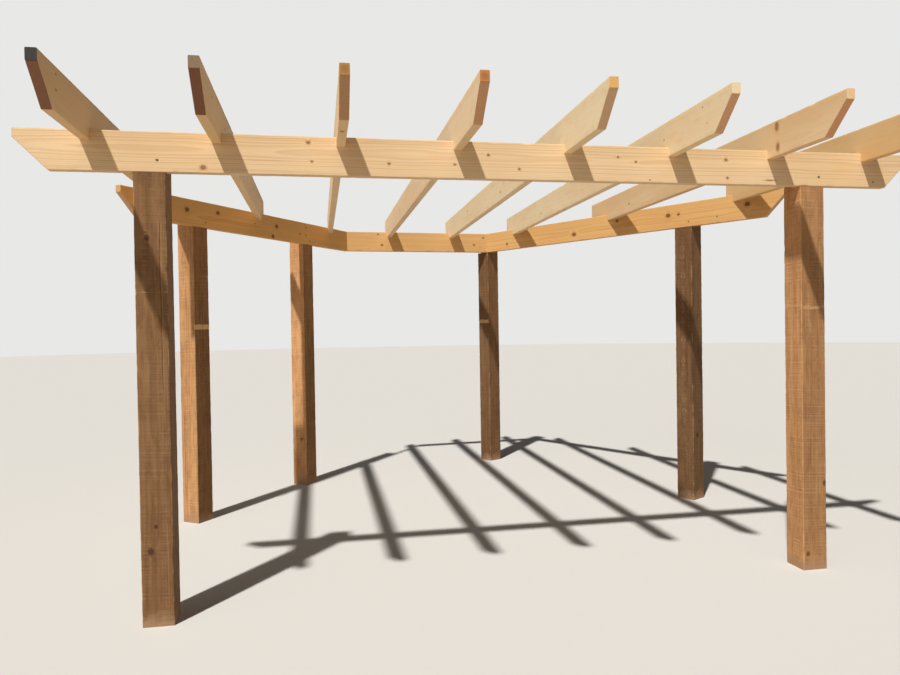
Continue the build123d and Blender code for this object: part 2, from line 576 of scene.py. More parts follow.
@dataclass(frozen=True)
class WoodFinish:
    """What planed and stained timbers share: rings, knots and a fine relief."""

    heart: Colour = shade(150, 98, 58)
    rim: Colour = shade(104, 66, 40)
    halo: Colour = shade(206, 156, 102)
    knots: float = 0.85
    ring_width: float = 0.0062
    sway: float = 0.022
    relief: float = 0.0004
    roughness: float = 0.55
    roughness_spread: float = 0.2

    def growth(self, pad: Pad, grain: Grain) -> Growth:
        """The wood's inner pattern.

        The distance from the pith line, bent by slow noise and pushed outwards round each knot, is cut into rings.
        Each ring fades slowly to its dark late wood and then drops back. A knot's number is its distance over its
        size, so it is 1 on the knot's own edge.

        Args:
            pad: the material's nodes.
            grain: how the timber was cut.

        Returns:
            The signals of the pattern.
        """
        board = pad.attribute("board", "Vector")
        place = board.parts()
        seeded = board.stretched((1, 1, 1), tuple(grain.seed * share for share in (3.1, 1.7, 0.9)))
        shift = (-grain.taper * grain.peak, -grain.pith_up, -grain.pith_across)
        pith = board.stretched((grain.taper, 1, 1), shift).length()
        radius = pith + seeded.noise((1.3, 6, 6)).scaled(self.sway, -self.sway / 2)
        if grain.curl:
            radius = place[0].scaled(17.0, grain.seed).line_noise().scaled(grain.curl, radius)
        fars = []
        for knot in grain.knots:
            fars.append(board.far_from((knot.along, knot.up, knot.across), knot.sizes()))
            radius = radius + fars[-1].fade(0.4, 3.6, knot.radius, 0.0)
        turns = radius / self.ring_width
        phase = turns.math("FRACT")
        return Growth(
            board, place, pith,
            ring=phase.fade(0.15, 0.88) * phase.fade(0.90, 1.0, 1.0, 0.0),
            band=(turns * 0.43).line_noise(),
            fibre=seeded.noise((5, 330, 330), 3.0, 0.6),
            streak=seeded.noise((1.1, 75, 75), 3.0, 0.6),
            blotch=seeded.noise((1.1, 5, 5)),
            knot=most("MINIMUM", fars) * seeded.noise((60, 120, 120), 1.0).scaled(0.5, 0.75),
        )

    def knotted(self, colour: Signal, wood: Growth, strength: float) -> Signal:
        """Draws the knots over a colour: a brown heart, a thin dark rim and a warm halo."""
        stops = [(0.0, self.heart), (0.28, self.heart), (0.36, self.rim), (0.46, self.halo), (1.0, self.halo)]
        return colour.toward((wood.knot * 0.4).ramp(stops), wood.knot.fade(0.95, 2.3, strength, 0.0))


@dataclass(frozen=True)
class Cut:
    """The colours of a timber's saw-cut ends: the square end that it starts with, and the slants and other cuts."""

    nose: Colour = shade(214, 166, 112)
    slant: Colour = shade(226, 180, 136)


@dataclass(frozen=True)
class PlanedTimber(WoodFinish):
    """Pale pressure-treated softwood, planed, with eased arrises and saw-cut ends."""

    pale: Colour = shade(250, 230, 192)
    late: Colour = shade(206, 162, 112)
    golden: Colour = shade(228, 186, 124)
    pinkish: Colour = shade(233, 192, 150)
    # Colour of the dark patch round a screw: broken wood with painted shade in the hole
    pocket: Colour = shade(70, 48, 34)
    pocket_size: Point = (0.008, 0.006, 0.004)
    # Colour of the painted shade on the timbers' tops
    painted_top_shade: Colour = shade(204, 182, 146)
    lines: float = 0.26
    streaks: float = 0.30

    def dress(self, piece: bpy.types.Object, grain: Grain, cut: Cut = Cut(),
              pockets: Sequence[Sequence[float]] = ()) -> None:
        """Gives a timber its own material.

        Args:
            piece: the timber.
            grain: how it was cut from its log.
            cut: the colours of its ends.
            pockets: places along and up the timber's face round a screw, where a dark ragged patch is drawn: wood
                broken open by the screw, darkened as painted shade in the hole.
        """
        pad = Pad(bpy.data.materials.new(piece.name + "_planed"))
        wood = self.growth(pad, grain)
        along, up = wood.place[:2]
        lines, streaks = self.lines * grain.figure, self.streaks * grain.figure
        tint = pad.blend(grain.tint, self.golden, self.pinkish)
        warm = wood.blotch.fade(0.3, 0.7, 0.8 * grain.warmth, min(1.0, 0.25 + 0.9 * grain.warmth))
        mottle = wood.board.noise((9, 22, 22), 3.0, 0.6, (grain.seed, 0, 0))
        base = (pad.blend(warm, self.pale, tint)
                .toward(self.late, wood.ring * wood.band.fade(0.25, 0.75, 0.25, 1.0) * lines)
                .toward(self.late, wood.streak.fade(0.52, 0.78, 0.0, streaks))
                .toward(tint, mottle.fade(0.50, 0.72, 0.0, 0.30))
                .dimmed(wood.streak.scaled(streaks * 0.4, 1.0 - streaks * 0.2))
                .dimmed(wood.fibre.scaled(0.10, 0.96)))
        base = self.knotted(base, wood, self.knots * (0.4 + 0.6 * grain.figure))
        # Painted shade: a dark ragged patch round each screw head, with the hole in the broken wood drawn dark.
        for place in pockets:
            torn_and_shaded = wood.board.far_from((*place, 0.0), self.pocket_size)
            torn_and_shaded = torn_and_shaded * wood.board.noise((90, 260, 260)).scaled(1.1, 0.45)
            base = base.toward(self.pocket, torn_and_shaded.fade(0.7, 1.15, 0.95, 0.0))
        # Painted shade: the top face is blended in patches to a greyer, darker colour, which tones down the key
        # light falling strongest there.
        top = up.fade(PLANK_DEPTH - 0.003, PLANK_DEPTH - 0.001) * mottle.fade(0.36, 0.60, 0.40, 0.75)
        # Painted highlight: the rounded arrises are drawn paler, as where they catch the light.
        base = base.toward(self.pale, pad.attribute("arris") * 0.25).toward(self.painted_top_shade, top)

        rough_end = wood.board.noise((60, 60, 90), 3.0, 0.6)
        end = (pad.blend(along.fade(0.001, 0.003, 1.0, 0.0), cut.slant, cut.nose)
               .dimmed(rough_end.scaled(0.36, 0.82))
               .dimmed(wood.ring.scaled(-0.16, 1.04))
               .toward(self.heart, wood.pith.fade(0.006, 0.028, 0.55, 0.0)))
        sawn = pad.attribute("sawn")
        height = (sawn * rough_end).scaled(1.0, wood.fibre.scaled(0.5, wood.ring * 0.25))
        roughness = wood.fibre.scaled(self.roughness_spread, self.roughness)
        made = pad.surface(base.toward(end, sawn), roughness, height, self.relief)
        piece.data.materials.append(made)


class PostFace(Enum):
    """The faces of a post: which of its directions each one looks along, and at which end of it."""

    INNER = (1, 0.0)
    OUTER = (1, 1.0)
    NEAR = (2, 0.0)
    FAR = (2, 1.0)

    def shown(self, wood: Growth) -> Signal:
        """1 close to this face and 0 elsewhere."""
        away = abs(wood.place[self.value[0]] - self.value[1] * POST_WIDTH)
        return away.fade(0.004, 0.006, 1.0, 0.0)

    def knot(self, height: float, place: float, radius: float) -> Knot:
        """A knot on this face, which goes straight in.

        Args:
            height: its height above the post's foot.
            place: its place across the face.
            radius: its radius.

        Returns:
            The knot.
        """
        axis, side = self.value
        up, across = (side * POST_WIDTH, place) if axis == 1 else (place, side * POST_WIDTH)
        return Knot(height, up, radius, across, reach=(0, 2 - axis, axis - 1))


@dataclass(frozen=True)
class StickMark:
    """A band that a spacing stick kept from the stain, on one face of a post. Broken is how much of it is gone."""

    height: float
    face: PostFace
    width: float = 0.022
    strength: float = 0.8
    broken: float = 0.3

    def shown(self, wood: Growth) -> Signal:
        """How strongly the band shows: noise frays its edges and breaks it.

        Args:
            wood: the post's pattern.

        Returns:
            The strength, from 0 to 1.
        """
        ragged = wood.board.noise((40, 70, 70), 3.0, 0.6, (self.height, 0, 0))
        off = ragged.scaled(0.014, abs(wood.place[0] - self.height))
        band = off.fade(self.width, self.width + 0.008, self.strength, 0.0)
        return band * ragged.fade(0.44, 0.58, 1.0, 1.0 - self.broken) * self.face.shown(wood)


@dataclass(frozen=True)
class Split:
    """A drying split along a post's face: its place across that face, its two ends and its half width."""

    face: PostFace
    place: float
    low: float
    high: float
    width: float = 0.0012

    def shown(self, wood: Growth) -> Signal:
        """The split's distance from a swaying middle line, set against a width that closes at both ends.

        Args:
            wood: the post's pattern.

        Returns:
            1 in the split and 0 elsewhere.
        """
        sway = wood.board.noise((3, 0, 0), 3.0, shift=(self.low * 5, 0, 0))
        off = abs(wood.place[3 - self.face.value[0]] - sway.scaled(0.03, self.place - 0.015))
        line = off / wood.between(self.low, self.high).scaled(self.width, 0.0001)
        return line.fade(0.5, 1.1, 1.0, 0.0) * self.face.shown(wood)


@dataclass(frozen=True)
class ChainFigure:
    """A row of pale ovals up the inner face of a flat-sawn post: its place across, its two ends, its half width."""

    place: float
    low: float
    high: float
    width: float = 0.020

    def shown(self, wood: Growth) -> Signal:
        """How strongly the ovals show.

        The distance from a slowly swaying middle line is set against a half width that noise along the post opens
        and shuts. It is strongest just inside the ovals' edges, and slow noise makes whole ovals fainter.

        Args:
            wood: the post's pattern.

        Returns:
            The strength, from 0 to 1.
        """
        along, across = wood.place[::2]
        middle = (along * 2.5).line_noise().scaled(0.03, self.place - 0.015)
        gape = (along * 19.0).line_noise(4.0).fade(0.38, 0.66, 0.05, 1.0)
        share = abs(across - middle) / (gape * self.width)
        edge = share.fade(0.25, 0.75, 0.35, 1.0) * share.fade(0.85, 1.1, 1.0, 0.0)
        faint = (along * 6.0).line_noise(2.0).fade(0.40, 0.60, 0.12, 0.72)
        return edge * wood.between(self.low, self.high) * PostFace.INNER.shown(wood) * faint


@dataclass(frozen=True)
class PostLook:
    """What one post shows. The whole-post factor dims the post, as painted shade; the per-face factors dim or pale
    single faces: below 1 painted shade, above 1 painted light.
    """

    grain: Grain
    marks: tuple[StickMark, ...]
    splits: tuple[Split, ...]
    painted_face_light: dict[PostFace, float]
    tone: float = 1.0
    chain: ChainFigure | None = None


@dataclass(frozen=True)
class StainedPost(WoodFinish):
    """Rough-sawn softwood with a brown stain: saw marks across it, rubbed arrises, splits and a dusty foot."""

    heart: Colour = shade(88, 52, 28)
    rim: Colour = shade(44, 26, 15)
    halo: Colour = shade(120, 80, 46)
    knots: float = 0.8
    ring_width: float = 0.0075
    sway: float = 0.030
    relief: float = 0.0009
    roughness: float = 0.72
    roughness_spread: float = 0.15
    saw_pace: float = 95.0
    split_depth: float = 3.0
    light: Colour = shade(188, 141, 96)
    dark: Colour = shade(112, 73, 42)
    rubbed: Colour = shade(212, 170, 122)
    bare: Colour = shade(246, 204, 150)
    end_pale: Colour = shade(150, 108, 68)
    end_late: Colour = shade(96, 63, 36)
    dust: Colour = shade(176, 142, 112)
    gap: Colour = shade(44, 27, 17)

    def dress(self, piece: bpy.types.Object, look: PostLook) -> None:
        """Gives a post its own material.

        Args:
            piece: the post.
            look: what it shows.
        """
        pad = Pad(bpy.data.materials.new(piece.name + "_stained"))
        wood = self.growth(pad, look.grain)
        along, up, across = wood.place
        shift, figure = (look.grain.seed, 0, 0), look.grain.figure
        mottle = wood.board.noise((7, 26, 26), 4.0, 0.65, shift)
        lines = wood.ring * wood.band.fade(0.3, 0.7, 0.16, 0.46) * mottle.fade(0.30, 0.60, figure, 0.45 * figure)
        slope = up.scaled(0.05, across.scaled(0.04, along))
        teeth = (slope * self.saw_pace).line_noise(3.0).fade(0.42, 0.66)
        teeth = teeth * wood.board.noise((3, 24, 24), shift=shift).fade(0.40, 0.62, 0.12, 0.9)
        base = (pad.blend(wood.blotch.fade(0.25, 0.75, 0.0, 0.40), self.light, self.dark)
                .toward(self.dark, mottle.fade(0.40, 0.66, 0.0, 0.42))
                .toward(self.dark, lines)
                .toward(self.dark, wood.streak.fade(0.52, 0.74, 0.0, 0.38))
                .toward(self.rubbed, wood.streak.fade(0.30, 0.44, 0.30, 0.0))
                .dimmed(wood.fibre.scaled(0.50, 0.76))
                .toward(self.rubbed, teeth * 0.34)
                .toward(self.rubbed, wood.board.noise((60, 300, 300)).fade(0.60, 0.72, 0.0, 0.40)))
        base = self.knotted(base, wood, self.knots)
        if look.chain:
            base = base.toward(self.rubbed, look.chain.shown(wood))
        # Painted shade: the whole post is dimmed by one factor.
        base = base.dimmed(look.tone)
        # Painted light and painted shade: each listed face is brightened or dimmed by its own factor.
        for face, amount in look.painted_face_light.items():
            base = base.dimmed(face.shown(wood).scaled(amount - 1.0, 1.0))
        rub = wood.board.noise((9, 24, 24), 3.0).fade(0.48, 0.64, 0.02, 0.52)
        base = base.toward(self.rubbed, pad.attribute("arris") * rub)
        for mark in look.marks:
            base = base.toward(self.bare, mark.shown(wood))

        splits = [split.shown(wood) for split in look.splits]
        for line in splits:
            base = base.toward(self.gap, line * 0.85)
        base = base.toward(pad.blend(wood.ring, self.end_pale, self.end_late), pad.attribute("sawn"))
        dusty = wood.board.noise((22, 16, 16), 4.0, 0.65).scaled(0.14, along)
        base = base.toward(self.dust, dusty.fade(0.075, 0.15, 0.85, 0.0))
        height = (teeth * 0.4) + wood.fibre.scaled(0.55, wood.ring * 0.4)
        height = most("MAXIMUM", splits).scaled(-self.split_depth, height)
        roughness = wood.fibre.scaled(self.roughness_spread, self.roughness)
        made = pad.surface(base, roughness, height, self.relief)
        piece.data.materials.append(made)


@dataclass(frozen=True)
class PlatedSteel:
    """Dull yellow-plated steel of the skew screws."""

    plate: Colour = shade(150, 132, 96)
    dull: Colour = shade(84, 70, 52)
    relief: float = 0.0001
    metallic: float = 0.8

    def material(self) -> bpy.types.Material:
        """The screws' one material.

        Returns:
            The material.
        """
        pad = Pad(bpy.data.materials.new("plated_steel"))
        spots = pad.signal("TexCoord", out="Object").noise((600, 600, 600))
        colour = pad.blend(spots.fade(0.4, 0.65), self.plate, self.dull)
        return pad.surface(colour, spots.scaled(0.3, 0.3), spots, self.relief, self.metallic)


# The pergola

INNER, OUTER, NEAR, FAR = PostFace

# In each look the dictionary of faces gives painted light and shade on single faces, and a number after it gives
# painted shade on the whole post.
POST_LOOKS = {
    "post_front_left": PostLook(
        Grain(0.082, 0.060, 1.1, 0.014, 0.5, 1.0, (
            INNER.knot(1.883, 0.060, 0.010), INNER.knot(0.367, 0.047, 0.013), INNER.knot(0.487, 0.072, 0.008),
            NEAR.knot(0.80, 0.090, 0.012), OUTER.knot(1.55, 0.09, 0.013))),
        (StickMark(1.622, INNER, 0.002, 0.75), StickMark(1.622, NEAR, 0.018, 0.6)),
        (Split(INNER, 0.118, 1.05, 2.05), Split(OUTER, 0.08, 0.3, 1.5), Split(FAR, 0.07, 0.1, 0.8)),
        {FAR: 0.80}, 0.62),
    "post_front_right": PostLook(
        Grain(0.070, 0.085, 0.4, 0.016, 0.5, 2.0, (
            INNER.knot(0.496, 0.140, 0.011), INNER.knot(0.094, 0.030, 0.010), FAR.knot(0.70, 0.070, 0.012),
            OUTER.knot(1.75, 0.06, 0.012)), figure=0.8),
        (StickMark(1.522, NEAR, 0.004, 0.5, 0.2), StickMark(1.508, INNER, 0.011, 0.42, 0.9)),
        (Split(FAR, 0.052, 0.25, 1.15), Split(OUTER, 0.07, 0.7, 1.9)),
        {NEAR: 1.42}),
    "post_left_outer": PostLook(
        Grain(0.075, 0.070, 0.9, 0.012, 0.5, 3.0, (
            OUTER.knot(1.10, 0.05, 0.012), NEAR.knot(0.35, 0.08, 0.012)), figure=0.7),
        (StickMark(1.456, INNER, 0.021, 0.95, 0.2), StickMark(1.421, FAR, 0.004, 0.7)),
        (Split(FAR, 0.12, 0.2, 1.0), Split(INNER, 0.07, 1.1, 2.1)),
        {FAR: 1.28, INNER: 0.72}),
    "post_left_inner": PostLook(
        Grain(0.066, 0.082, 1.4, 0.015, 0.5, 4.0, (
            FAR.knot(0.420, 0.050, 0.010), OUTER.knot(1.60, 0.05, 0.012), NEAR.knot(0.9, 0.06, 0.011)), figure=0.7),
        (StickMark(1.199, FAR, 0.005, 0.6, 0.6), StickMark(1.44, OUTER, 0.02)),
        (Split(INNER, 0.08, 0.3, 1.3), Split(OUTER, 0.07, 0.8, 2.0)),
        {FAR: 1.48, INNER: 0.75}),
    "post_back_corner": PostLook(
        Grain(0.078, 0.066, 0.7, 0.014, 0.5, 5.0, (OUTER.knot(1.35, 0.09, 0.012), NEAR.knot(0.62, 0.06, 0.010))),
        (StickMark(1.475, INNER, 0.021, 0.8, 0.6), StickMark(1.46, OUTER, 0.02)),
        (Split(NEAR, 0.06, 0.2, 1.6), Split(OUTER, 0.09, 0.5, 1.9)),
        {INNER: 0.80, NEAR: 0.72}, 0.64),
    "post_right_outer": PostLook(
        Grain(0.110, 0.071, 1.0, 0.010, 0.5, 6.0, (
            FAR.knot(0.520, 0.060, 0.013), OUTER.knot(1.55, 0.05, 0.012)), curl=0.012),
        (StickMark(1.49, OUTER, 0.020, 0.6),),
        (Split(OUTER, 0.074, 0.15, 2.05, 0.0016), Split(FAR, 0.08, 0.6, 1.7)),
        {INNER: 0.70, FAR: 0.78}, 0.64, ChainFigure(0.068, 0.35, 2.19)),
}

FRONT_PLANED = PlanedTimber(
    pale=shade(249, 226, 192), golden=shade(238, 202, 146), late=shade(192, 142, 92), heart=shade(134, 86, 50),
    rim=shade(88, 54, 32), lines=0.42, streaks=0.46, knots=0.80, sway=0.016)
REAR_PLANED = PlanedTimber(
    pale=shade(234, 192, 128), golden=shade(218, 166, 92), late=shade(184, 132, 72), heart=shade(118, 72, 38),
    rim=shade(72, 44, 24), lines=0.45, streaks=0.45, knots=0.9)


@dataclass(frozen=True)
class BeamLook:
    """What one beam shows: its grain, its screws' places along and up, and whether a dark ragged patch, broken wood
    with painted shade in the hole, is drawn round them.
    """

    grain: Grain
    screws: tuple[tuple[float, float], ...]
    torn_and_shaded: bool = True
    finish: PlanedTimber = REAR_PLANED
    slot: Slot = Slot.REAR_BEAM


BEAM_LOOKS = {
    "front_beam": BeamLook(
        Grain(0.115, 0.085, 2.2, 0.012, 0.2, 11.0, (
            Knot(0.850, 0.027, 0.012), Knot(1.354, 0.163, 0.009), Knot(1.371, 0.070, 0.006),
            Knot(1.757, 0.068, 0.007), Knot(2.099, 0.072, 0.006), Knot(2.278, 0.126, 0.007),
            Knot(2.445, 0.057, 0.006), Knot(2.999, 0.135, 0.006), Knot(3.102, 0.111, 0.006),
            Knot(3.183, 0.015, 0.004), Knot(3.638, 0.136, 0.008), Knot(3.646, 0.036, 0.007),
            Knot(3.909, 0.028, 0.024, slim=0.13), Knot(4.573, 0.032, 0.005)), 0.55),
        ((0.638, 0.058), (4.218, 0.054)), finish=FRONT_PLANED, slot=Slot.FRONT_BEAM),
    "rear_beam_left": BeamLook(
        Grain(0.075, 0.100, 1.0, 0.014, 0.2, 21.0, (
            Knot(0.581, 0.114, 0.020), Knot(0.901, 0.132, 0.017), Knot(1.331, 0.103, 0.006),
            Knot(1.613, 0.114, 0.018), Knot(1.562, 0.023, 0.018), Knot(2.040, 0.154, 0.007),
            Knot(1.947, 0.085, 0.008), Knot(2.038, 0.081, 0.007))),
        ((0.765, 0.043), (2.098, 0.037))),
    "rear_beam_middle": BeamLook(
        Grain(0.140, -0.050, 0.6, 0.016, 0.4, 22.0, (
            Knot(0.315, 0.172, 0.008), Knot(0.354, 0.065, 0.011), Knot(1.326, 0.076, 0.010),
            Knot(1.426, 0.151, 0.009))),
        ((1.390, 0.050),), torn_and_shaded=False),
    "rear_beam_right": BeamLook(
        Grain(0.080, 0.095, 1.6, 0.012, 0.3, 23.0, (
            Knot(0.303, 0.059, 0.012), Knot(1.179, 0.063, 0.021), Knot(1.663, 0.129, 0.013),
            Knot(2.170, 0.111, 0.019), Knot(2.265, 0.109, 0.011), Knot(2.845, 0.112, 0.020),
            Knot(2.60, 0.05, 0.006))),
        ((2.356, 0.040),)),
}

# The grain of each rafter, left to right, then the colours of its nose and of its other cuts
RAFTER_GRAINS = (
    Grain(0.09, 0.075, 0.7, 0.020, 0.3, 31.0, (
        Knot(0.202, 0.162, 0.006, PLANK_THICKNESS), Knot(0.198, 0.095, 0.006, PLANK_THICKNESS),
        Knot(1.25, 0.07, 0.010), Knot(2.0, 0.13, 0.009)), 0.7),
    Grain(0.06, -0.045, 1.1, 0.018, 0.1, 32.0, (
        Knot(0.338, 0.136, 0.007, PLANK_THICKNESS), Knot(0.786, 0.114, 0.007, PLANK_THICKNESS),
        Knot(1.55, 0.06, 0.010), Knot(2.4, 0.12, 0.009)), 0.45),
    Grain(0.170, 0.024, 0.2, 0.010, 0.6, 33.0, (
        Knot(0.337, 0.0, 0.009, 0.020, reach=(0, 1, 0)), Knot(1.4, 0.1, 0.010), Knot(2.7, 0.07, 0.009)), 0.4),
    Grain(0.168, 0.022, 0.3, 0.012, 0.8, 34.0, (
        Knot(0.95, 0.05, 0.008), Knot(1.9, 0.12, 0.010), Knot(3.1, 0.09, 0.009)), 0.35),
    Grain(0.100, 0.080, 0.35, 0.034, 0.2, 35.0, (
        Knot(1.15, 0.13, 0.008), Knot(2.05, 0.06, 0.010), Knot(3.3, 0.12, 0.009)), 0.0, 0.45),
    Grain(0.110, 0.078, 0.25, 0.030, 0.4, 36.0, (
        Knot(0.222, 0.070, 0.004), Knot(0.262, 0.160, 0.005), Knot(0.676, 0.103, 0.006), Knot(1.7, 0.09, 0.010),
        Knot(3.0, 0.06, 0.009)), 0.05, 0.45),
    Grain(0.050, -0.060, 0.3, 0.016, 0.5, 37.0, (
        Knot(0.538, 0.160, 0.013, slim=1.6), Knot(0.531, 0.046, 0.012, slim=1.6), Knot(1.45, 0.1, 0.010),
        Knot(2.5, 0.07, 0.009)), 0.6, 0.9),
    Grain(0.090, 0.070, 0.5, 0.020, 0.1, 38.0, (Knot(0.95, 0.12, 0.010), Knot(1.6, 0.07, 0.009)), 0.9),
)
# The dark colours in the first two rows, for the two leftmost rafters' noses and cuts, are painted shade.
RAFTER_CUTS = (
    ((58, 52, 50), (152, 108, 84)), ((146, 122, 94), (142, 97, 72)), ((186, 140, 80), (204, 158, 118)),
    ((208, 140, 80), (226, 174, 134)), ((238, 188, 118), (234, 196, 158)), ((250, 228, 184), (240, 190, 148)),
    ((244, 208, 158), (238, 180, 134)), ((238, 196, 146), (224, 172, 126)),
)


@dataclass(frozen=True)
class RearLine:
    """The inner face line of the three rear beams: left, middle and right."""

    left_corner: Point = (-0.717, 3.593 + FRONT_Y, 0.0)
    right_corner: Point = (0.744, 3.688 + FRONT_Y, 0.0)
    left_angle: float = 55.3
    right_angle: float = -60.0
    left_length: float = 2.728
    right_length: float = 3.125

    def angles(self) -> tuple[float, float, float]:
        """The three beams' directions, in degrees from +X."""
        run, rise = (b - a for a, b in zip(self.left_corner[:2], self.right_corner[:2]))
        return self.left_angle, math.degrees(math.atan2(rise, run)), self.right_angle

    def starts(self) -> tuple[Point, Point, Point]:
        """Where the three beams' inner faces start."""
        tip = moved(self.left_corner, heading(self.left_angle), -self.left_length)
        return tip, self.left_corner, self.right_corner

    def lengths(self) -> tuple[float, float, float]:
        """The lengths of the three beams' inner faces."""
        return self.left_length, math.dist(self.left_corner, self.right_corner), self.right_length

    def lean(self, corner: int) -> float:
        """How much further along each beam reaches, per distance outwards, at the mitre of corner 0 or 1."""
        angles = self.angles()
        return math.tan(math.radians(angles[corner] - angles[corner + 1]) / 2)

    def crossing(self, point: Sequence[float], direction: Point, offset: float) -> tuple[float, float]:
        """Where a level line from a point meets the nearest of the three beams.

        The beam's face is the line of points whose distance outwards from the inner faces is the offset. The way
        to it is what is left of that distance, over how much of each step goes outwards.

        Args:
            point: where the line starts.
            direction: its level direction.
            offset: distance outwards from the inner faces.

        Returns:
            The way to the face, and how much longer it gets per distance to the line's right.
        """
        found = []
        for angle, start in zip(self.angles(), self.starts()):
            outward = heading(angle + 90)
            gone = sum((p - q) * n for p, q, n in zip(point[:2], start[:2], outward))
            step = sum(d * n for d, n in zip(direction, outward))
            sideways = direction[1] * outward[0] - direction[0] * outward[1]
            found.append(((offset - gone) / step, -sideways / step))
        return min(found)


@dataclass
class Posts:
    """The six square posts."""

    line: RearLine
    tongue: float = 0.195
    shoulder: float = 0.0454
    hair: float = 0.0003
    front_centres: tuple[float, float] = (-1.800, 1.775)
    left_gaps: tuple[float, float] = (1.945, 0.592)
    right_gaps: tuple[float, float] = (-0.137, 2.228)
    section: Section = Section(side_steps=14, edge_steps=14)
    wear: Wear = Wear(18, 40, ripple=0.0008, arris_loss=0.0012, chip_depth=0.0030)
    step: float = 0.008
    finish: StainedPost = StainedPost()

    def boards(self) -> list[Board]:
        """Where each post stands: along is upwards, up is outwards and across is level with its beam.

        Returns:
            The six boards, in the order of the looks.
        """
        left, right = heading(self.line.left_angle + 180), heading(self.line.right_angle)
        corners = [((x - POST_WIDTH / 2, FRONT_Y, 0.0), heading(0)) for x in self.front_centres]
        corners += [(moved(self.line.left_corner, left, gap), left) for gap in self.left_gaps]
        corners += [(moved(self.line.right_corner, right, gap), right) for gap in self.right_gaps]
        made = []
        for start, level in corners:
            back = math.copysign(1.0, level[0])
            out = (-level[1] * back, level[0] * back, 0.0)
            made.append(Board(start, UP, out, level, POST_HEIGHT + self.tongue, POST_WIDTH, POST_WIDTH))
        return made

    def build(self) -> None:
        """Makes, dresses and adds the posts. Each one steps back to its tongue at the shoulder."""
        stations = (Station(0.0), Station(POST_HEIGHT - self.hair), Station(POST_HEIGHT, self.shoulder),
                    Station(POST_HEIGHT + self.tongue, self.shoulder))
        for number, ((node, look), board) in enumerate(zip(POST_LOOKS.items(), self.boards())):
            wear = replace(self.wear, seed=self.wear.seed + number)
            piece = timber("sawn_" + node, board, stations, self.section, wear, self.step)
            self.finish.dress(piece, look)
            add_piece(piece, node)


@dataclass
class Beams:
    """The front beam over its two posts, and the three mitred rear beams."""

    line: RearLine
    front_length: float = 4.800
    nose: float = 0.045
    cut_run: float = 0.150
    mitre_run: float = 0.100
    section: Section = Section(side_steps=16, edge_steps=5)
    wears: tuple[Wear, ...] = (Wear(30, 7), Wear(20, 60), Wear(20, 61), Wear(20, 62))
    steps: tuple[float, ...] = (0.010, 0.011, 0.011, 0.011)

    def boards(self) -> list[Board]:
        """Where the four beams lie.

        Returns:
            Their boards, in the order of the looks.
        """
        line = self.line
        starts = (-self.front_length / 2, FRONT_Y, 0.0), *line.starts()
        lengths = self.front_length, *line.lengths()
        return [Board(moved(start, UP, POST_HEIGHT), heading(angle), UP, heading(angle + 90), length, PLANK_DEPTH,
                      PLANK_THICKNESS) for angle, start, length in zip((0.0, *line.angles()), starts, lengths)]

    def stations(self, length: float, leans: tuple[float | None, float | None]) -> tuple[Station, ...]:
        """A beam's lower edge, which rises towards the nose at an end with no lean.

        Args:
            length: the beam's length.
            leans: the mitres at its two ends.

        Returns:
            The stations along the beam.
        """
        outer, inner = [], []
        for lean, end, inwards in zip(leans, (0.0, length), (1, -1)):
            high, run = (PLANK_DEPTH - self.nose, self.cut_run) if lean is None else (0.0, self.mitre_run)
            outer.append(Station(end, high, lean or 0.0))
            inner.append(Station(end + inwards * run))
        return outer[0], *inner, outer[1]

    def build(self) -> None:
        """Makes, dresses and adds the beams."""
        first, second = self.line.lean(0), self.line.lean(1)
        leans = (None, None), (None, first), (-first, second), (-second, None)
        rows = zip(BEAM_LOOKS.items(), self.boards(), leans, self.wears, self.steps)
        for (node, look), board, ends, wear, step in rows:
            stations = self.stations(board.length, ends)
            piece = timber("planed_" + node, board, stations, self.section, wear, step)
            look.finish.dress(piece, look.grain, pockets=look.screws if look.torn_and_shaded else ())
            add_piece(piece, node)


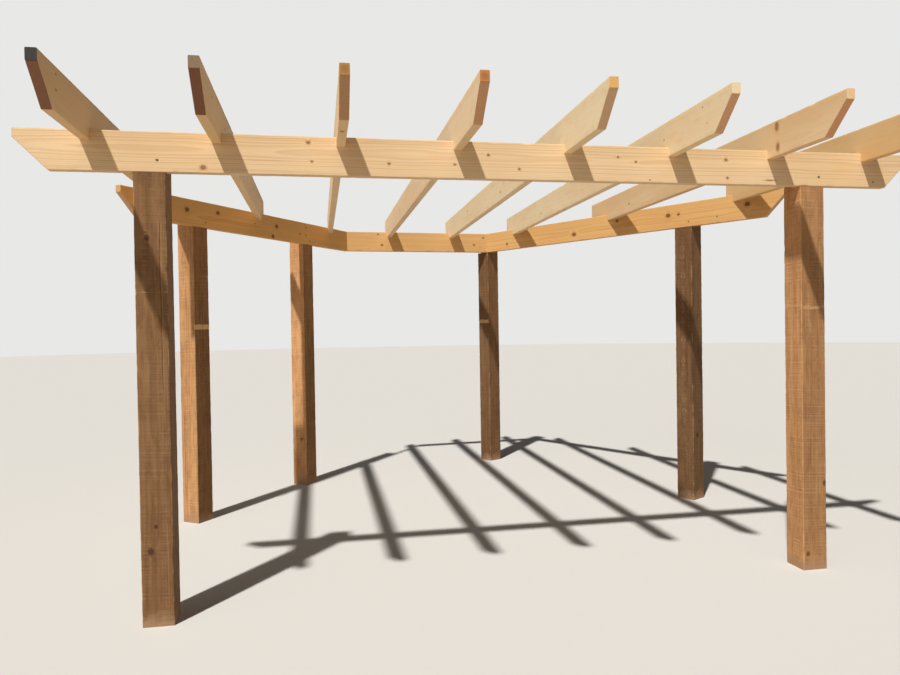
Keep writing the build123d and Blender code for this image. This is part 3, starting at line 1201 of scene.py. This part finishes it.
@dataclass
class Rafters:
    """The eight rafters, notched over the front beam and askew over the rear beams."""

    line: RearLine
    spacing: float = 0.600
    first_x: float = -2.085
    nose: float = 0.050
    cut_run: float = 0.153
    front_overhang: float = 0.628
    rear_overhangs: tuple[float, ...] = (0.180,) * 6 + (0.320, 0.045)
    square_count: int = 4
    splay: float = 0.75
    underside: float = 2.345
    notch: float = 0.050
    clearance: float = 0.0004
    hair: float = 0.0003
    ease_before: float = 0.17
    ease_after: float = 0.12
    shortest_end: float = 0.15
    section: Section = Section(side_steps=13, edge_steps=4)
    wear: Wear = Wear(24, 80)
    step: float = 0.012
    finish: PlanedTimber = PlanedTimber()

    def board(self, index: int) -> Board:
        """Where a rafter lies. Those on the right turn clockwise about their seats on the front beam.

        Args:
            index: the rafter's number, from 0 on the left.

        Returns:
            Its board, which starts at the nose.
        """
        turn = 0.0 if index < self.square_count else self.splay
        along, across = heading(90 - turn), heading(-turn)
        seat = (self.first_x + index * self.spacing, FRONT_Y, self.underside)
        far = self.line.crossing(seat, along, PLANK_THICKNESS)[0]
        length = self.front_overhang + far + self.rear_overhangs[index]
        start = moved(moved(seat, along, -self.front_overhang), across, -PLANK_THICKNESS / 2)
        return Board(start, along, UP, across, length, PLANK_DEPTH, PLANK_THICKNESS)

    def stations(self, board: Board) -> tuple[Station, ...]:
        """The lower edge: a slant from the nose, the front notch, and the skewed rear notch.

        A notch wall is two stations a hair apart. The lean of the rear notch grows from nothing before it and is
        gone again after it, where the rafter is long enough.

        Args:
            board: where the rafter lies.

        Returns:
            The stations, from the nose to the rear end.
        """
        seat = (FRONT_Y - board.start[1]) / board.along[1]
        skew = -board.across[1] / board.along[1]
        near, lean = self.line.crossing(board.start, board.along, -self.clearance)
        far = self.line.crossing(board.start, board.along, PLANK_THICKNESS + self.clearance)[0]
        made = [Station(0.0, PLANK_DEPTH - self.nose), Station(self.cut_run)]
        for front, back, tilt in ((seat - self.clearance, seat + PLANK_THICKNESS + self.clearance, skew),
                                  (near, far, lean)):
            made += [Station(front, 0.0, tilt), Station(front + self.hair, self.notch, tilt),
                     Station(back - self.hair, self.notch, tilt), Station(back, 0.0, tilt)]
        made.insert(-4, Station(near - self.ease_before))
        if board.length - far > self.shortest_end:
            made.append(Station(far + self.ease_after))
        return *made, Station(board.length)

    def build(self) -> None:
        """Makes, dresses and adds the rafters."""
        for index, (grain, (nose, slant)) in enumerate(zip(RAFTER_GRAINS, RAFTER_CUTS)):
            board = self.board(index)
            node = "rafter_%d" % (index + 1)
            wear = replace(self.wear, seed=self.wear.seed + index)
            piece = timber("planed_" + node, board, self.stations(board), self.section, wear, self.step)
            self.finish.dress(piece, grain, Cut(shade(*nose), shade(*slant)))
            add_piece(piece, node)


@dataclass
class SkewScrews:
    """The slanting screws that hold the beams to the posts: one on each side of a beam over each post."""

    beams: Beams
    head_radius: float = 0.0045
    head_dome: float = 0.0010
    neck: float = 0.0032
    pole: float = 0.0002
    tilt: float = 38.0
    steps: int = 28
    stagger: float = 0.05
    finish: PlatedSteel = PlatedSteel()

    def head(self, at: Array, out: Point) -> tuple[Array, Array]:
        """One head, half sunk: a profile of radius and height turned about the screw's own axis.

        Args:
            at: the point of the beam's face where the head's middle is.
            out: the face's outward direction.

        Returns:
            Points and quads.
        """
        r, dome, neck, pole, n = self.head_radius, self.head_dome, self.neck, self.pole, self.steps
        profile = np.array([(pole, dome * 0.4), (r * 0.35, dome * 0.45), (r * 0.42, dome), (r * 0.75, dome * 0.8),
                            (r, 0.0), (r * 0.96, -0.0007), (r * 0.5, -neck), (pole, -neck - 0.001)])
        angle = np.linspace(0, 2 * math.pi, n, endpoint=False)[:, None]
        axis = np.array(out) * math.cos(math.radians(self.tilt)) + np.array(UP) * math.sin(math.radians(self.tilt))
        side = np.cross(UP, out)
        flat = np.cos(angle) * side + np.sin(angle) * np.cross(axis, side)
        points = (profile[:, :1, None] * flat[None] + profile[:, 1:, None] * axis).reshape(-1, 3) + at
        i, j = np.meshgrid(np.arange(len(profile) - 1) * n, np.arange(n), indexing="ij")
        after = (j + 1) % n
        return points, np.stack([i + j, i + n + j, i + n + after, i + after], axis=2).reshape(-1, 4)

    def build(self) -> None:
        """Makes and adds the screws, one object for each beam."""
        steel = self.finish.material()
        for (beam, look), board in zip(BEAM_LOOKS.items(), self.beams.boards()):
            points, quads = [], []
            for along, up in look.screws:
                for place, out in (((along, up, 0.0), tuple(-v for v in board.across)),
                                   ((along - self.stagger, up, board.thickness), board.across)):
                    more, faces = self.head(board.place(np.array(place)), out)
                    quads.append(faces + len(more) * len(points))
                    points.append(more)
            mesh = bpy.data.meshes.new("screws_" + beam)
            mesh.from_pydata(np.concatenate(points).tolist(), [], np.concatenate(quads).tolist())
            mesh.shade_smooth()
            mesh.materials.append(steel)
            piece = placed("screws_" + beam, mesh)
            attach(piece, BODY)
            log.info("%s: %d heads", piece.name, len(points))


# The studio


@dataclass(frozen=True)
class Lamp:
    """A far lamp: the way to it, its strength, and how wide it looks from the object, in degrees."""

    direction: Point
    strength: float
    softness: float
    colour: tuple[float, float, float] = (1.0, 0.97, 0.92)

    def add(self, name: str) -> None:
        """Puts the lamp into the scene.

        Args:
            name: the lamp's name.
        """
        data = bpy.data.lights.new(name, "SUN")
        data.energy, data.angle, data.color = self.strength, math.radians(self.softness), self.colour
        placed(name, data).rotation_euler = Vector(self.direction).to_track_quat("Z", "Y").to_euler()


@dataclass
class Studio:
    """A pale floor and surroundings, a key light, a soft side light, an even fill, and the camera."""

    key: Lamp = Lamp((-0.38, -0.53, 1.0), 3.9, 1.6)
    side: Lamp = Lamp((-0.75, -0.60, 0.28), 0.45, 50.0)
    fill: float = 0.07
    fill_colour: Colour = (0.94, 0.97, 1.0, 1.0)
    floor_pale: Colour = shade(214, 212, 208)
    floor_bounce: Colour = (0.45, 0.385, 0.31, 1.0)
    floor_radius: float = 45.0
    floor_steps: int = 96
    backdrop_pale: Colour = shade(232, 232, 231)
    camera_at: Point = (-1.0105, FRONT_Y - 3.6402, 1.4403)
    camera_right: Point = (0.98335, -0.18100, -0.01608)
    camera_up: Point = (0.01837, 0.01095, 0.99977)
    camera_forward: Point = (0.18078, 0.98342, -0.01410)
    lens: float = 28.52
    sensor_width: float = 36.0
    shift_y: float = -0.0026
    clip_end: float = 200.0

    def floor(self) -> None:
        """A wide round floor, pale to the camera and mid-toned for the light that it throws back."""
        angle = np.linspace(0, 2 * math.pi, self.floor_steps, endpoint=False)
        rim = np.stack([np.cos(angle), np.sin(angle), 0 * angle], axis=1) * self.floor_radius
        mesh = bpy.data.meshes.new("studio_floor")
        mesh.from_pydata(rim.tolist(), [], [tuple(range(self.floor_steps))])
        pad = Pad(bpy.data.materials.new("floor_paper"))
        colour = pad.blend(pad.seen(), self.floor_bounce, self.floor_pale)
        pad.node("OutputMaterial", {"Surface": pad.signal("BsdfDiffuse", {"Color": colour})})
        mesh.materials.append(pad.owner)
        placed("studio_floor", mesh)

    def light(self) -> None:
        """The key light from the upper left in front, a wide soft side light, and the world's even fill."""
        self.key.add("key")
        self.side.add("side")
        bpy.context.scene.world = bpy.data.worlds.new("studio")
        pad = Pad(bpy.context.scene.world)
        fill = pad.signal("Background", {"Color": self.fill_colour, "Strength": self.fill})
        pale = pad.signal("Background", {"Color": self.backdrop_pale, "Strength": 1.0})
        pad.node("OutputWorld", {"Surface": pad.signal("MixShader", {0: pad.seen(), 1: fill, 2: pale})})

    def camera(self) -> None:
        """The camera, from its place and its three directions."""
        data = bpy.data.cameras.new("camera")
        data.sensor_width, data.lens = self.sensor_width, self.lens
        data.shift_y, data.clip_end = self.shift_y, self.clip_end
        view = placed("camera", data)
        back = tuple(-v for v in self.camera_forward)
        turn = Matrix((self.camera_right, self.camera_up, back)).transposed().to_4x4()
        view.matrix_world = Matrix.Translation(self.camera_at) @ turn
        bpy.context.scene.camera = view

    def build(self) -> None:
        """Sets up the floor, the lights and the camera."""
        self.floor()
        self.light()
        self.camera()
        bpy.context.scene.view_settings.view_transform = "Standard"


def main() -> None:
    """Builds the pergola's timbers and screws, then the studio."""
    logging.basicConfig(level=logging.INFO, format="%(name)s: %(message)s")
    line = RearLine()
    beams = Beams(line)
    for assembly in (Posts(line), beams, Rafters(line), SkewScrews(beams), Studio()):
        assembly.build()
        log.info("%s: done", type(assembly).__name__)


if __name__ == "__main__":
    main()
